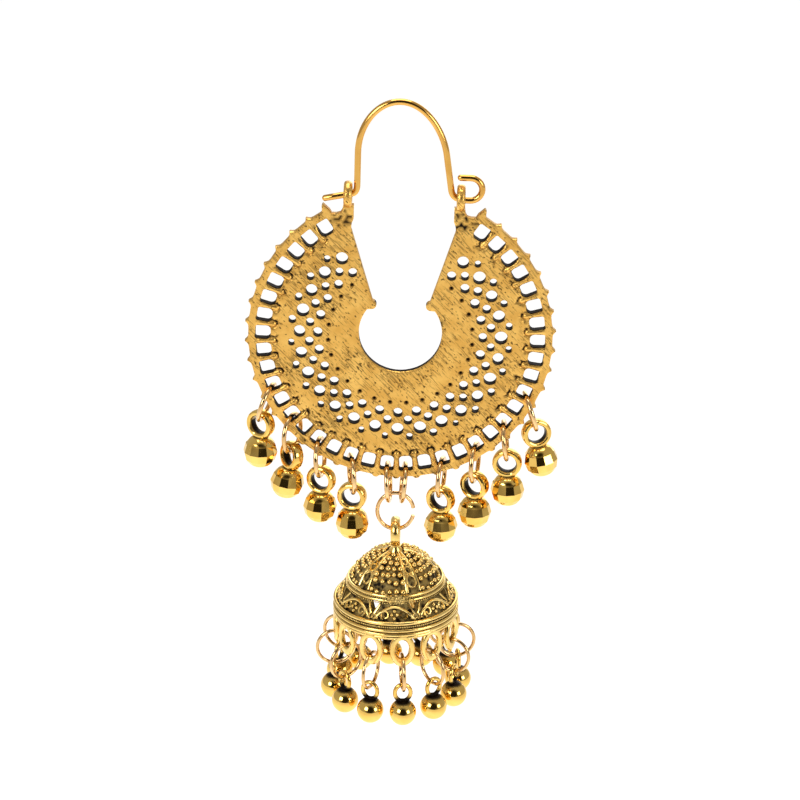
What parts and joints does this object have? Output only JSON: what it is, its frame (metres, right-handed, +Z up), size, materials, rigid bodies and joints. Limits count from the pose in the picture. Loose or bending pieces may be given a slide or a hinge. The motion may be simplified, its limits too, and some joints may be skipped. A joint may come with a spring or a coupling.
{
  "type": "jhumka earring",
  "caption": "Hanging earring: pierced crescent plate with a keyhole cut-out on a looped ear wire, ball drops round its lower edge and a domed bell with ball drops below.",
  "frame": {"origin": "seat of the ear wire: the underside of its arch, on the plate's centre plane", "axes": "+Z up, front of the earring towards -Y, +X towards the curl of the ear wire; the plate lies in the XZ plane"},
  "size_m": [0.0416, 0.0218, 0.0851],
  "materials": {
    "antique_gold": "antiqued, dark in the recesses",
    "polished_gold": "polished",
    "pale_gold": "polished"
  },
  "bodies": {
    "ear_wire": {"ear_wire": "polished_gold"},
    "plate": {"plate": "antique_gold", "plate_link_1": "pale_gold", "plate_link_2": "pale_gold", "plate_link_3": "pale_gold", "plate_link_4": "pale_gold", "plate_link_5": "pale_gold", "plate_link_6": "pale_gold", "plate_link_7": "pale_gold", "plate_link_8": "pale_gold", "plate_drop_1": "polished_gold", "plate_drop_2": "polished_gold", "plate_drop_3": "polished_gold", "plate_drop_4": "polished_gold", "plate_drop_5": "polished_gold", "plate_drop_6": "polished_gold", "plate_drop_7": "polished_gold", "plate_drop_8": "polished_gold", "hanger_link_left": "pale_gold", "hanger_link_right": "pale_gold"},
    "ring": {"ring_link": "pale_gold"},
    "bell": {"bell": "antique_gold", "bell_link_1": "pale_gold", "bell_link_2": "pale_gold", "bell_link_3": "pale_gold", "bell_link_4": "pale_gold", "bell_link_5": "pale_gold", "bell_link_6": "pale_gold", "bell_link_7": "pale_gold", "bell_link_8": "pale_gold", "bell_link_9": "pale_gold", "bell_link_10": "pale_gold", "bell_link_11": "pale_gold", "bell_link_12": "pale_gold", "bell_drop_1": "polished_gold", "bell_drop_2": "polished_gold", "bell_drop_3": "polished_gold", "bell_drop_4": "polished_gold", "bell_drop_5": "polished_gold", "bell_drop_6": "polished_gold", "bell_drop_7": "polished_gold", "bell_drop_8": "polished_gold", "bell_drop_9": "polished_gold", "bell_drop_10": "polished_gold", "bell_drop_11": "polished_gold", "bell_drop_12": "polished_gold"}
  },
  "joints": [
    {"name": "plate_swing", "type": "hinge", "parent": "ear_wire", "child": "plate", "pos_m": [0, 0, -0.012], "axis": [1, 0, 0], "range_deg": [-115, 115]},
    {"name": "ring_turn", "type": "hinge", "parent": "plate", "child": "ring", "pos_m": [0.00007, 0, -0.05632], "axis": [0, 1, 0], "range_deg": [-20, 20]},
    {"name": "bell_swing", "type": "hinge", "parent": "ring", "child": "bell", "pos_m": [0.00015, 0, -0.05897], "axis": [1, 0, 0], "range_deg": [-90, 90]}
  ]
}
